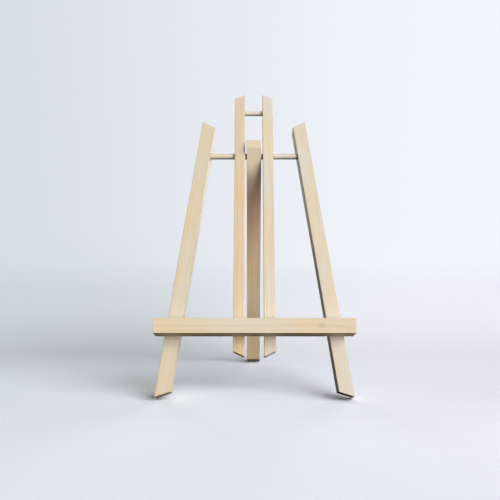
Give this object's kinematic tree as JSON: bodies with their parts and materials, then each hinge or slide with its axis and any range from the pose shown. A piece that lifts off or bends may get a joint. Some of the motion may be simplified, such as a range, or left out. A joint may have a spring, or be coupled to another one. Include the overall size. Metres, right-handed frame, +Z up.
{
  "type": "plate display stand",
  "caption": "Folding wooden tabletop easel: a leaning splayed frame with a front ledge holds a plate, and a rear leg swings on a dowel.",
  "frame": {"origin": "on the table, under the middle of the standing outline", "axes": "+X to the viewer's right as seen from the front, +Y from the ledge towards the rear foot, +Z up"},
  "size_m": [0.187, 0.1706, 0.305],
  "materials": {
    "pale_wood": "sanded, unfinished pale birch",
    "dowel_wood": "smooth round dowel, unfinished",
    "screw_steel": "bright zinc"
  },
  "bodies": {
    "frame": {"left_leg": "pale_wood", "right_leg": "pale_wood", "left_upright": "pale_wood", "right_upright": "pale_wood", "ledge": "pale_wood", "pivot_dowel": "dowel_wood", "top_dowel": "dowel_wood", "leg_screws": "screw_steel", "upright_screws": "screw_steel"},
    "rear_leg": {"rear_leg": "pale_wood"}
  },
  "joints": [
    {"name": "rear_leg_hinge", "type": "hinge", "parent": "frame", "child": "rear_leg", "pos_m": [0, 0.00196, 0.23594], "axis": [1, 0, 0], "range_deg": [-37.7, 133]}
  ]
}
